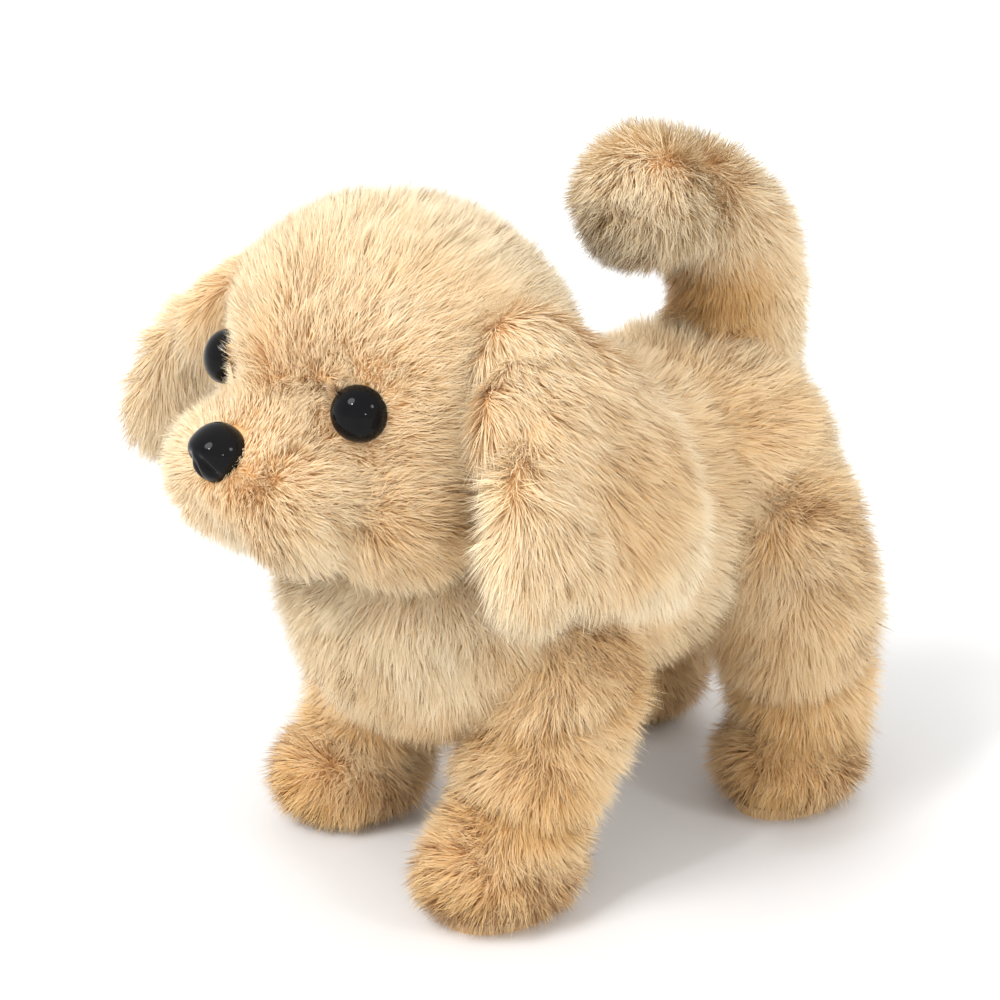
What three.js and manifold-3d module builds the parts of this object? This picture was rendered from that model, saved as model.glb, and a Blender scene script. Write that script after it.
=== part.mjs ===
// Walking plush puppy: a battery-driven chassis with four swinging legs inside a stuffed fur skin.
// Millimetres. +Z is up, the puppy faces -Y, +X is its left side, the soles stand on Z = 0.

import * as THREE from 'three';
import { RoundedBoxGeometry } from 'three/addons/geometries/RoundedBoxGeometry.js';
import { mergeVertices } from 'three/addons/utils/BufferGeometryUtils.js';
import Module from 'manifold-3d';

const wasm = await Module();
wasm.setup();

// ---------------------------------------------------------------- driving sizes

const GAP = 0.3;                                  // air kept between neighbouring solids
const SOFT = 0.35;                                // surface tolerance of the stuffed forms

// Hips and stride. Angles are in degrees, positive when the foot swings forward.
const HIP = { front: { y: -11, z: 50 }, rear: { y: 51, z: 50 } };
const FOOT_Y = { front: -30, rear: 53 };          // middle of the foot at mid-stride
const SWING = 13;                                 // stride each way from mid-stride
const REST_SWING = 4.5;                           // left legs forward, right legs back
const LINK_RADIUS = 9.5;                          // link pegs above the hips

// Stations across the width, from the middle plane outwards.
const HOUSING_X = 17.4;
const WALL = 1.6;
const DISC = [17.8, 19.0];
const PLATE = [20.2, 22.7];
const LINK = [23.1, 24.9];
const PLUSH_INNER_X = 26.6;
const LEG_PLUSH = [18.0, 41.4];

// Battery box: two AA cells side by side.
const CELL = { radius: 7.2, length: 50.5, x: 7.6, y0: -9.2, z: 50.8 };
const FLOOR_Z = 59;                               // floor between the cells and the gears
const DOOR = { x: 15.4, y0: -13.7, y1: 51.5, z0: 41, z1: 42.6 };
const DOOR_SCREW_Y = 48.9;

// Gear train: module, teeth, and the line of shafts that all lie along X.
const MODULE = 0.63;
const PINION_TEETH = 10;
const SMALL_TEETH = 12;
const LARGE_TEETH = 30;
const SHAFT_Z = 72;
const CRANK_Y = 48;
const STEP_DOWN = MODULE * (SMALL_TEETH + LARGE_TEETH) / 2;
const SECOND_Y = CRANK_Y - STEP_DOWN;
const FIRST_Y = SECOND_Y - STEP_DOWN;
const MOTOR_Y = FIRST_Y - MODULE * (PINION_TEETH + LARGE_TEETH) / 2;

// Crank: the throw that swings the rear lever by SWING each way.
const LEVER = { y: CRANK_Y - HIP.rear.y, z: SHAFT_Z - HIP.rear.z };
const LEVER_LENGTH = Math.hypot(LEVER.y, LEVER.z);
const THROW = LEVER_LENGTH * Math.sin(SWING * Math.PI / 180);
const CRANK_PHASE = Math.asin(REST_SWING / SWING);

// Stuffed forms.
const TORSO = { x: 32.5, y0: -40, y1: 84.8, z0: 35, z1: 105, corner: 25 };
const BARREL = { y: 14, z: 66, r: [42, 78, 43] };   // rounds the torso off all over
const CHEST = { y: -23, z: 66, r: 33.5 };
const SKULL = { y: -34, z: 111, r: [39.5, 37.5, 38] };
const MUZZLE = { y: -63, z: 97.5, r: [21, 20, 15.5] };
const CHEEK = { x: 20, y: -51, z: 92, r: [17, 17, 13.5] };
const EYE = { x: 23.5, y: -63.3, z: 115, radius: 6 };
const NOSE = { y: -80, z: 104, r: [6.7, 4.8, 6.8] };
const NECK = { y: -20, z: 86 };
const EAR_FLAP = { x: 52, y: -27.4, z: 101, r: [4.6, 34, 29], tilt: -11, flare: 18 };
const HEAD_CARVE = 3.4;                           // room round the head for its nod
const TAIL_PIVOT_Y = 53;
const TAIL_PATH = [[57, 94], [58.5, 108], [57, 121], [50, 132], [39, 136.5], [32, 137]];
const TAIL_RADIUS = 10.5;
const TAIL_TUFT = 14;

// ---------------------------------------------------------------- solids

function solid(geometry) {
  geometry.deleteAttribute('uv');
  geometry.deleteAttribute('normal');
  const merged = mergeVertices(geometry, 1e-4);
  return new wasm.Manifold(new wasm.Mesh({
    numProp: 3,
    vertProperties: new Float32Array(merged.attributes.position.array),
    triVerts: new Uint32Array(merged.index.array),
  }));
}

function box([x0, x1], [y0, y1], [z0, z1]) {
  const geometry = new THREE.BoxGeometry(x1 - x0, y1 - y0, z1 - z0);
  geometry.translate((x0 + x1) / 2, (y0 + y1) / 2, (z0 + z1) / 2);
  return solid(geometry);
}

function roundedBox([x0, x1], [y0, y1], [z0, z1], radius, segments) {
  const geometry = new RoundedBoxGeometry(x1 - x0, y1 - y0, z1 - z0, segments, radius);
  geometry.translate((x0 + x1) / 2, (y0 + y1) / 2, (z0 + z1) / 2);
  return solid(geometry);
}

function ellipsoid([x, y, z], [rx, ry, rz], tiltDeg = 0, across = 16, down = 10) {
  const geometry = new THREE.SphereGeometry(1, across, down);
  geometry.rotateX(Math.PI / 2);
  geometry.scale(rx, ry, rz);
  geometry.rotateY(tiltDeg * Math.PI / 180);
  geometry.translate(x, y, z);
  return solid(geometry);
}

function rodX([y, z], radius, [x0, x1], sides = 16) {
  const geometry = new THREE.CylinderGeometry(radius, radius, x1 - x0, sides);
  geometry.rotateZ(-Math.PI / 2);
  geometry.translate((x0 + x1) / 2, y, z);
  return solid(geometry);
}

function rodY([x, z], radius, [y0, y1], sides = 20) {
  const geometry = new THREE.CylinderGeometry(radius, radius, y1 - y0, sides);
  geometry.translate(x, (y0 + y1) / 2, z);
  return solid(geometry);
}

function rodZ([x, y], radius, [z0, z1], sides = 16) {
  const geometry = new THREE.CylinderGeometry(radius, radius, z1 - z0, sides);
  geometry.rotateX(Math.PI / 2);
  geometry.translate(x, y, (z0 + z1) / 2);
  return solid(geometry);
}

// A flat plate: the outline lies in the Y-Z plane and the thickness runs along X.
function plate(outline, [x0, x1]) {
  const shape = new THREE.Shape(outline.map(([y, z]) => new THREE.Vector2(y, z)));
  const geometry = new THREE.ExtrudeGeometry(shape, { depth: x1 - x0, bevelEnabled: false });
  const turn = new THREE.Matrix4().makeBasis(
    new THREE.Vector3(0, 1, 0),
    new THREE.Vector3(0, 0, 1),
    new THREE.Vector3(1, 0, 0),
  );
  geometry.applyMatrix4(turn);
  geometry.translate(x0, 0, 0);
  return solid(geometry);
}

// A bar with round ends between two points of the Y-Z plane.
function bar([ya, za], [yb, zb], radius, span, arc = 6) {
  const heading = Math.atan2(zb - za, yb - ya);
  const outline = [];
  for (const [y, z, turn] of [[yb, zb, -0.5], [ya, za, 0.5]]) {
    for (let i = 0; i <= arc; i += 1) {
      const angle = heading + Math.PI * (turn + i / arc);
      outline.push([y + radius * Math.cos(angle), z + radius * Math.sin(angle)]);
    }
  }
  return plate(outline, span);
}

function tube(points, radius, steps, sides) {
  const path = new THREE.CatmullRomCurve3(points.map((p) => new THREE.Vector3(...p)));
  const shape = new THREE.Shape();
  for (let i = 0; i < sides; i += 1) {
    const angle = 2 * Math.PI * i / sides;
    const x = radius * Math.cos(angle);
    const y = radius * Math.sin(angle);
    if (i === 0) shape.moveTo(x, y);
    else shape.lineTo(x, y);
  }
  return solid(new THREE.ExtrudeGeometry(shape, { steps, extrudePath: path, bevelEnabled: false }));
}

function lathe(profile, sides = 18) {
  const points = profile.map(([r, h]) => new THREE.Vector2(r, h));
  return solid(new THREE.LatheGeometry(points, sides));
}

function union(...solids) {
  return solids.reduce((sum, next) => sum.add(next));
}

function cut(body, ...tools) {
  return tools.reduce((rest, tool) => rest.subtract(tool), body);
}

const mirrored = (body) => body.mirror([1, 0, 0]);
const bothSides = (body) => body.add(mirrored(body));
const offset = (radii, amount) => radii.map((r) => r + amount);
const grow = ([a, b], amount) => [a - amount, b + amount];

// ---------------------------------------------------------------- materials and nodes

function material(color, roughness, metalness = 0) {
  return new THREE.MeshStandardMaterial({ color, roughness, metalness });
}

const FUR = material(0xe6cfa4, 1.0);
const FUR_LIGHT = material(0xecdab6, 1.0);
const HOUSING_PLASTIC = material(0xe9e4d6, 0.55);
const LEG_PLASTIC = material(0xd8d4c8, 0.5);
const GEAR_PLASTIC = material(0xf2f0e6, 0.4);
const BLACK_GLOSS = material(0x0c0a0a, 0.08);
const BLACK_PLASTIC = material(0x1c1c1e, 0.5);
const STEEL = material(0xb9bcc0, 0.3, 1);
const BRASS = material(0xc9a45a, 0.35, 1);
const CELL_SLEEVE = material(0x3a4a5c, 0.35);
const BOARD = material(0x2f6b3c, 0.6);
const RED_WIRE = material(0xb02020, 0.5);
const BLACK_WIRE = material(0x151515, 0.5);
const SOLE_FABRIC = material(0xbfa98a, 0.95);

const group = new THREE.Group();

function node(name, body, look, tolerance = 0.04) {
  const mesh = body.simplify(tolerance).getMesh();
  const geometry = new THREE.BufferGeometry();
  geometry.setAttribute('position', new THREE.BufferAttribute(mesh.vertProperties, 3));
  geometry.setIndex(new THREE.BufferAttribute(mesh.triVerts, 1));
  geometry.computeVertexNormals();
  const item = new THREE.Mesh(geometry, look);
  item.name = name;
  group.add(item);
}

// ---------------------------------------------------------------- chassis housing

const HOUSING_OUTLINE = [
  [-25, 41], [61, 41], [61, 79], [56, 86], [0, 86], [-14, 72], [-25, 72],
];
const HOUSING_HOLLOW = [
  [-23.4, 42.6], [59.4, 42.6], [59.4, 78.4], [55.2, 84.4], [0.7, 84.4], [-13.3, 70.4], [-23.4, 70.4],
];
const CASE_SCREWS = { front: [-3.5, 64], rear: [56.4, 46] };

function housing() {
  const shell = plate(HOUSING_OUTLINE, [0.1, HOUSING_X]);
  const hollow = plate(HOUSING_HOLLOW, [-1, HOUSING_X - WALL]);
  const doorway = box([-1, DOOR.x + 0.2], grow([DOOR.y0, DOOR.y1], 0.2), [40, 43]);
  let body = cut(shell, hollow, doorway);
  const inside = [0.1, HOUSING_X - WALL + 0.1];
  body = body.add(box(inside, [-24, 60], [FLOOR_Z, FLOOR_Z + 1.4]));
  for (const y of [-11.6, 46.2]) {
    body = body.add(box(inside, [y, y + 1.2], [42.9, FLOOR_Z + 0.1]));
  }
  for (const centre of Object.values(CASE_SCREWS)) {
    body = body.add(rodX(centre, 2.8, inside, 12));
  }
  body = body.add(cut(rodZ([0, DOOR_SCREW_Y], 3, [42.9, FLOOR_Z + 0.1]), box([-5, 0.1], [40, 60], [40, 60])));
  for (const hip of Object.values(HIP)) {
    body = union(body,
      rodX([hip.y, hip.z], 3.6, [HOUSING_X - 0.2, PLATE[0] - 0.2]),
      rodX([hip.y, hip.z], 2.4, [HOUSING_X - 0.2, LINK[0] - 0.1]));
  }
  for (const hip of Object.values(HIP)) {
    body = body.subtract(rodX([hip.y, hip.z], 1.35, [HOUSING_X - 0.6, LINK[0] + 1], 12));
  }
  for (const centre of Object.values(CASE_SCREWS)) {
    body = body.subtract(rodX(centre, 1.35, [-1, HOUSING_X + 1], 12));
  }
  for (const y of [FIRST_Y, SECOND_Y]) {
    body = body.subtract(rodX([y, SHAFT_Z], 1.35, [HOUSING_X - 3, HOUSING_X + 1], 12));
  }
  body = body.subtract(rodX([CRANK_Y, SHAFT_Z], 1.9, [HOUSING_X - 3, HOUSING_X + 1]));
  body = body.subtract(rodZ([0, DOOR_SCREW_Y], 1.6, [40, 50], 12));
  body = body.subtract(box([-1, 4.2], [-21.2, -17.8], [40, 43]));
  const wireway = box([13.4, HOUSING_X - WALL], [-17.8, 48], [56.6, FLOOR_Z]);
  const riser = box([13.4, HOUSING_X - WALL], [-17.8, -14.2], [56.6, FLOOR_Z + 2]);
  return cut(body, wireway, riser);
}

node('housing_left', housing(), HOUSING_PLASTIC);
node('housing_right', mirrored(housing()), HOUSING_PLASTIC);

function caseScrew([y, z]) {
  return union(
    rodX([y, z], 2.5, [HOUSING_X + 0.2, HOUSING_X + 1.5], 12),
    rodX([y, z], 1.0, [-11, HOUSING_X + 0.4], 10));
}

node('housing_screw_front', caseScrew(CASE_SCREWS.front), STEEL);
node('housing_screw_rear', caseScrew(CASE_SCREWS.rear), STEEL);

// ---------------------------------------------------------------- battery door and cells

function batteryDoor() {
  const ribs = [-4, 18, 40].map((y) => box([-9, 9], [y, y + 1.2], [DOOR.z0 - 0.5, DOOR.z0 + 0.1]));
  return cut(
    union(box([-DOOR.x, DOOR.x], [DOOR.y0, DOOR.y1], [DOOR.z0, DOOR.z1]), ...ribs),
    rodZ([0, DOOR_SCREW_Y], 1.5, [40, 44], 12),
    rodZ([0, DOOR_SCREW_Y], 2.9, [40, 42], 12));
}

node('battery_door', batteryDoor(), HOUSING_PLASTIC);
node('battery_door_screw', union(
  rodZ([0, DOOR_SCREW_Y], 2.5, [40.6, 41.8], 12),
  rodZ([0, DOOR_SCREW_Y], 1.0, [41.6, 45.5], 10)), STEEL);

const CELL_PROFILE = [
  [0, 0], [CELL.radius, 0], [CELL.radius, CELL.length - 1.4],
  [2.7, CELL.length - 1.4], [2.7, CELL.length], [0, CELL.length],
];

function cell(x, nubForward) {
  const upright = lathe(CELL_PROFILE, 20);
  if (nubForward) {
    return upright.rotate([180, 0, 0]).translate([x, CELL.y0 + CELL.length, CELL.z]);
  }
  return upright.translate([x, CELL.y0, CELL.z]);
}

node('battery_left', cell(CELL.x, true), CELL_SLEEVE);
node('battery_right', cell(-CELL.x, false), CELL_SLEEVE);

const REAR_CONTACT = [45.3, 45.9];

node('contact_bridge', box([-13, 13], [-10.1, -9.5], [46, 56]), STEEL);
node('contact_positive', union(
  box([-12.6, -2.6], REAR_CONTACT, [46, 56]),
  rodY([-CELL.x, CELL.z], 2.2, [CELL.y0 + CELL.length + GAP, REAR_CONTACT[0] + 0.2], 12)), STEEL);

function contactSpring() {
  const turns = 3;
  const points = [];
  for (let i = 0; i <= turns * 10; i += 1) {
    const angle = 2 * Math.PI * i / 10;
    const y = CELL.y0 + CELL.length + 0.8 + 3.1 * i / (turns * 10);
    points.push([CELL.x + 3.4 * Math.cos(angle), y, CELL.z + 3.4 * Math.sin(angle)]);
  }
  return union(
    tube(points, 0.4, 30, 4),
    box([2.6, 12.6], REAR_CONTACT, [46, 56]),
    box([10.4, 11.6], [44.2, REAR_CONTACT[0] + 0.2], [CELL.z - 0.6, CELL.z + 0.6]));
}

node('contact_spring', contactSpring(), STEEL);

function batteryWire(side) {
  return tube([
    [side * 14.5, 44.6, 57.8], [side * 14.5, 20, 57.8], [side * 14.5, -8, 57.8],
    [side * 14.5, -15.6, 58.4], [side * 14.3, -16, 62.4], [side * 11, -15.4, 63.4], [side * 9.6, -15, 62.9],
  ], 0.5, 18, 5);
}

node('wire_red', batteryWire(-1), RED_WIRE);
node('wire_black', batteryWire(1), BLACK_WIRE);

// ---------------------------------------------------------------- board, speaker and switch

node('circuit_board', box([-12, 12], [-22.8, -7.5], [FLOOR_Z + 1.7, FLOOR_Z + 3.1]), BOARD);
node('control_chip', cut(
  ellipsoid([0, -15, FLOOR_Z + 3.2], [4, 4, 2.2], 0, 12, 8),
  box([-6, 6], [-22, -8], [FLOOR_Z, FLOOR_Z + 3.4])), BLACK_PLASTIC);

const SPEAKER = { y: -25.3, z: 57 };

function aimForward(body) {
  return body.rotate([180, 0, 0]).translate([0, SPEAKER.y, SPEAKER.z]);
}

node('speaker_basket', aimForward(lathe([
  [0, 0.1], [6, 0.1], [6, 3], [13.4, 4], [13.4, 6.2], [12.2, 6.2], [12.2, 5], [5, 3.6], [0, 3.6],
])), STEEL);
node('speaker_cone', aimForward(lathe([
  [0, 4.1], [3.4, 4.1], [5.2, 4.5], [11.6, 5.6], [11.6, 6.1], [5, 5.1], [3.2, 5.7], [0, 6],
])), BLACK_PLASTIC);

node('switch_body', box([-6, 6], [-22.4, -16.6], [43, 48]), BLACK_PLASTIC);
node('switch_knob', union(
  box([-3.6, -0.4], [-20.8, -18.2], [39.4, 42.7]),
  box([-2.6, -1.4], [-20.8, -18.2], [39.0, 39.6])), BLACK_PLASTIC);

// ---------------------------------------------------------------- motor and gears

// A spur gear whose shaft lies along X. firstTooth is the angle from +Y towards +Z of one tooth.
function gear(teeth, [y, z], span, firstTooth) {
  const pitch = MODULE * teeth / 2;
  const outer = pitch + 0.8 * MODULE;
  const root = pitch - 1.1 * MODULE;
  const each = 2 * Math.PI / teeth;
  const corners = [[root, -0.27], [outer, -0.10], [outer, 0.10], [root, 0.27]];
  const outline = [];
  for (let i = 0; i < teeth; i += 1) {
    for (const [radius, share] of corners) {
      const angle = firstTooth + each * (i + share);
      outline.push([y + radius * Math.cos(angle), z + radius * Math.sin(angle)]);
    }
  }
  return plate(outline, span);
}

// A large gear is turned so that a gap faces the gear before it on the shaft line, towards -Y.
const GAP_FORWARD = Math.PI + Math.PI / LARGE_TEETH;
const at = (y) => [y, SHAFT_Z];

function motorCan() {
  const outline = [];
  for (let i = 0; i < 24; i += 1) {
    const angle = 2 * Math.PI * (i + 0.5) / 24;
    const y = Math.max(-7.5, Math.min(7.5, 10 * Math.cos(angle)));
    outline.push([MOTOR_Y + y, SHAFT_Z + 10 * Math.sin(angle)]);
  }
  return outline;
}

node('motor_can', cut(
  union(plate(motorCan(), [-11.4, 9.6]), rodX(at(MOTOR_Y), 3, [9.4, 10.9])),
  rodX(at(MOTOR_Y), 1.35, [2, 12], 12)), STEEL);
node('motor_endcap', union(
  plate(motorCan(), [-14.6, -11.7]),
  box([-15.4, -14.4], [MOTOR_Y - 6, MOTOR_Y - 4.4], [SHAFT_Z - 2, SHAFT_Z + 2]),
  box([-15.4, -14.4], [MOTOR_Y + 4.4, MOTOR_Y + 6], [SHAFT_Z - 2, SHAFT_Z + 2])), BLACK_PLASTIC);
node('motor_pinion', union(
  gear(PINION_TEETH, at(MOTOR_Y), [11.4, 15.2], 0),
  rodX(at(MOTOR_Y), 0.95, [2.4, 15.4], 12)), BRASS);
node('gear_first', union(
  gear(LARGE_TEETH, at(FIRST_Y), [11.8, 14.8], GAP_FORWARD),
  gear(SMALL_TEETH, at(FIRST_Y), [7.6, 12], 0),
  rodX(at(FIRST_Y), 1.0, [-HOUSING_X, HOUSING_X], 12)), GEAR_PLASTIC);
node('gear_second', union(
  gear(LARGE_TEETH, at(SECOND_Y), [8.0, 11.0], GAP_FORWARD),
  gear(SMALL_TEETH, at(SECOND_Y), [3.8, 8.2], 0),
  rodX(at(SECOND_Y), 1.0, [-HOUSING_X, HOUSING_X], 12)), GEAR_PLASTIC);
node('crank_gear', cut(
  union(gear(LARGE_TEETH, at(CRANK_Y), [4.2, 7.2], GAP_FORWARD), rodX(at(CRANK_Y), 3.4, [-3, 4.4])),
  rodX(at(CRANK_Y), 1.65, [-5, 9])), GEAR_PLASTIC);
node('crank_shaft', rodX(at(CRANK_Y), 1.5, [-DISC[1], DISC[1]]), STEEL);

// The two crank pins are half a turn apart and stop short of the slotted levers.
function crankDisc(sense) {
  const pin = [
    CRANK_Y + sense * THROW * Math.sin(CRANK_PHASE),
    SHAFT_Z + sense * THROW * Math.cos(CRANK_PHASE),
  ];
  return cut(
    union(rodX(at(CRANK_Y), 7.8, DISC, 24), rodX(pin, 1.4, [DISC[0], PLATE[0] - 0.4], 12)),
    rodX(at(CRANK_Y), 1.65, [15, 21]));
}

node('crank_disc_left', crankDisc(1), LEG_PLASTIC);
node('crank_disc_right', mirrored(crankDisc(-1)), LEG_PLASTIC);

// ---------------------------------------------------------------- legs

// Legs are drawn at mid-stride round their own hip, then swung and set on the hip.
function setOnHip(end, swing, body) {
  return body.rotate([-swing, 0, 0]).translate([0, HIP[end].y, HIP[end].z]);
}

function ankle(end) {
  const share = 0.82;
  return [(FOOT_Y[end] - HIP[end].y) * share, -HIP[end].z * share];
}

function legFrame(end, swing, extra = 0) {
  const span = grow(PLATE, extra);
  let lever = bar([0, LINK_RADIUS], [0, 0], 3.8 + extra, span);
  if (end === 'rear') {
    const reach = (LEVER_LENGTH + THROW + 3.4) / LEVER_LENGTH;
    lever = lever.add(bar([0, 0], [LEVER.y * reach, LEVER.z * reach], 3.7 + extra, span));
  }
  const shin = union(
    lever,
    bar([0, 0], ankle(end), 4.2 + extra, span),
    rodX([0, LINK_RADIUS], 1.5, [PLATE[1] - 0.2, LINK[1] + 0.4], 12));
  const placed = setOnHip(end, swing, shin);
  const footY = FOOT_Y[end] - swing * 0.63;
  const foot = box(grow([PLATE[0], 33.5], extra), grow([footY - 6.5, footY + 6.5], extra), grow([3.2, 6.2], extra));
  const upright = box(span, grow([footY - 5, footY + 5], extra), [3.2, 12]);
  return union(placed, foot, upright);
}

function legFrameFinished(end, swing) {
  let holes = rodX([0, 0], 2.7, [18, 26]);
  if (end === 'rear') {
    const low = (LEVER_LENGTH - THROW - 0.4) / LEVER_LENGTH;
    const high = (LEVER_LENGTH + THROW + 0.4) / LEVER_LENGTH;
    const slot = bar([LEVER.y * low, LEVER.z * low], [LEVER.y * high, LEVER.z * high], 1.7, [18, 24]);
    holes = holes.add(slot);
  }
  return legFrame(end, swing).subtract(setOnHip(end, swing, holes));
}

const LEG_RADIUS = { front: 15.2, rear: 15 };
const PAW = { width: 13, length: 17.5, height: 12.5, z: 11 };
const SOLE_HEIGHT = 2.2;

function legPlush(end, swing) {
  const [x0, x1] = LEG_PLUSH;
  const x = (x0 + x1) / 2;
  const half = (x1 - x0) / 2;
  const radius = LEG_RADIUS[end];
  const [ankleY, ankleZ] = ankle(end);
  const length = Math.hypot(ankleY, ankleZ) * 0.72;
  const limb = new THREE.CapsuleGeometry(radius, length, 3, 12);
  limb.translate(0, -length / 2, 0);
  limb.rotateX(Math.PI / 2 + Math.atan2(ankleY, -ankleZ));
  limb.scale(half / radius, 1, 1);
  limb.translate(x, 0, 0);
  const insideTop = box([0, PLUSH_INNER_X], [-40, 40], [-8, 60]);
  const upper = setOnHip(end, swing, solid(limb).subtract(insideTop));
  const paw = ellipsoid([x, FOOT_Y[end] - swing * 0.63, PAW.z], [PAW.width, PAW.length, PAW.height], 0, 14, 8);
  const belowSole = box([0, 60], [-90, 120], [-20, SOLE_HEIGHT + GAP]);
  return cut(union(upper, paw), belowSole, legFrame(end, swing, 0.35));
}

function sole(end, swing) {
  const outline = [];
  const y = FOOT_Y[end] - swing * 0.63;
  for (let i = 0; i < 20; i += 1) {
    const angle = 2 * Math.PI * i / 20;
    outline.push([9.6 * Math.cos(angle), 13 * Math.sin(angle)]);
  }
  const shape = new THREE.Shape(outline.map(([a, b]) => new THREE.Vector2(a, b)));
  const geometry = new THREE.ExtrudeGeometry(shape, { depth: SOLE_HEIGHT, bevelEnabled: false });
  geometry.translate((LEG_PLUSH[0] + LEG_PLUSH[1]) / 2, y, 0);
  return solid(geometry);
}

function hipScrew(end) {
  const centre = [HIP[end].y, HIP[end].z];
  return union(
    rodX(centre, 3.6, [LINK[0] + 0.1, LINK[1]]),
    rodX(centre, 1.05, [HOUSING_X - 0.2, LINK[0] + 0.3], 10));
}

for (const [side, swing, toSide] of [
  ['left', REST_SWING, (body) => body],
  ['right', -REST_SWING, mirrored],
]) {
  for (const end of ['front', 'rear']) {
    const leg = `${end}_${side}`;
    node(`leg_frame_${leg}`, toSide(legFrameFinished(end, swing)), LEG_PLASTIC);
    node(`leg_plush_${leg}`, toSide(legPlush(end, swing)), FUR, SOFT);
    node(`sole_${leg}`, toSide(sole(end, swing)), SOLE_FABRIC);
    node(`hip_screw_${leg}`, toSide(hipScrew(end)), STEEL);
  }
}

// A link bar joins the front and rear levers of one side, so that both legs swing alike.
function linkBar(swing) {
  const turn = swing * Math.PI / 180;
  const peg = (hip) => [hip.y + LINK_RADIUS * Math.sin(turn), hip.z + LINK_RADIUS * Math.cos(turn)];
  const front = peg(HIP.front);
  const rear = peg(HIP.rear);
  return cut(bar(front, rear, 3.1, LINK), rodX(front, 1.75, [22, 27]), rodX(rear, 1.75, [22, 27]));
}

node('link_bar_left', linkBar(REST_SWING), LEG_PLASTIC);
node('link_bar_right', mirrored(linkBar(-REST_SWING)), LEG_PLASTIC);

// ---------------------------------------------------------------- neck and skull

function neckPost() {
  const foot = box([-6, 6], [NECK.y - 4.6, NECK.y + 5], [72.3, 74]);
  const post = bar([NECK.y, 73.9], [NECK.y, NECK.z], 4, [-3, 3]);
  return cut(
    union(foot, cut(post, box([-5, 5], [NECK.y - 9, NECK.y + 9], [60, 72.3]))),
    rodX([NECK.y, NECK.z], 1.7, [-5, 5]));
}

node('neck_post', neckPost(), LEG_PLASTIC);
node('neck_pin', rodX([NECK.y, NECK.z], 1.5, [-8.4, 8.4]), STEEL);

const CRANIUM = { y: -34, z: 113, r: [28, 26, 27], wall: 1.6 };

function cranium() {
  const centre = [0, CRANIUM.y, CRANIUM.z];
  return cut(ellipsoid(centre, CRANIUM.r), ellipsoid(centre, offset(CRANIUM.r, -CRANIUM.wall)));
}

function eyeFrame() {
  const normal = new THREE.Vector3(
    EYE.x / SKULL.r[0] ** 2,
    (EYE.y - SKULL.y) / SKULL.r[1] ** 2,
    (EYE.z - SKULL.z) / SKULL.r[2] ** 2,
  ).normalize();
  const turn = new THREE.Quaternion().setFromUnitVectors(new THREE.Vector3(0, 1, 0), normal);
  return new THREE.Matrix4().compose(
    new THREE.Vector3(EYE.x, EYE.y, EYE.z), turn, new THREE.Vector3(1, 1, 1));
}

// The eye and the tools that cut its seat share one axis: the dome looks out, the stem goes in.
function eyePart(profile, sides) {
  const geometry = new THREE.LatheGeometry(profile.map(([r, h]) => new THREE.Vector2(r, h)), sides);
  geometry.applyMatrix4(eyeFrame());
  return solid(geometry);
}

const EYE_STEM = { radius: 1.5, inner: -13 };

function eye() {
  const profile = [[0, EYE_STEM.inner], [EYE_STEM.radius, EYE_STEM.inner], [EYE_STEM.radius, -1.6], [5.2, -1.6]];
  for (let i = 0; i <= 4; i += 1) {
    const angle = Math.PI * i / 8;
    profile.push([EYE.radius * Math.cos(angle), -0.6 + 4.0 * Math.sin(angle)]);
  }
  profile[profile.length - 1][0] = 0;
  return eyePart(profile, 16);
}

function eyeSeat() {
  const well = [[0, -2], [EYE.radius + 0.4, -2], [EYE.radius + 0.4, 12], [0, 12]];
  const bore = [[0, -26], [EYE_STEM.radius + 0.35, -26], [EYE_STEM.radius + 0.35, 0], [0, 0]];
  return union(eyePart(well, 16), eyePart(bore, 10));
}

function skullFront() {
  const half = cranium().subtract(box([-40, 40], [CRANIUM.y - 0.1, 20], [70, 160]));
  return half.subtract(bothSides(eyeSeat()));
}

function skullBack() {
  const half = cranium().subtract(box([-40, 40], [-90, CRANIUM.y + 0.1], [70, 160]));
  const open = half.subtract(box([-3.6, 3.6], [-40, -8], [70, 98]));
  const lug = cut(
    bar([NECK.y, NECK.z], [NECK.y, 97], 4.4, [3.6, 6.4]),
    rodX([NECK.y, NECK.z], 1.6, [2, 8]));
  return open.add(bothSides(lug));
}

node('skull_front', skullFront(), LEG_PLASTIC);
node('skull_back', skullBack(), LEG_PLASTIC);
node('eye_left', eye(), BLACK_GLOSS);
node('eye_right', mirrored(eye()), BLACK_GLOSS);

const NOSE_STEM = { radius: 1.6, end: -67 };
const NOSE_WASHER = [-73.2, -72];

node('nose', union(
  ellipsoid([0, NOSE.y, NOSE.z], NOSE.r),
  rodY([0, NOSE.z], NOSE_STEM.radius, [NOSE.y, NOSE_STEM.end], 12)), BLACK_GLOSS);
node('nose_washer', cut(
  rodY([0, NOSE.z], 4.6, NOSE_WASHER, 16),
  rodY([0, NOSE.z], NOSE_STEM.radius + 0.3, [-76, -70], 12)), LEG_PLASTIC);

// ---------------------------------------------------------------- head, ears and tail

function headForm(extra = 0) {
  const cheek = ellipsoid([CHEEK.x, CHEEK.y, CHEEK.z], offset(CHEEK.r, extra));
  return union(
    ellipsoid([0, SKULL.y, SKULL.z], offset(SKULL.r, extra), 0, 20, 12),
    ellipsoid([0, MUZZLE.y, MUZZLE.z], offset(MUZZLE.r, extra)),
    bothSides(cheek));
}

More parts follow.
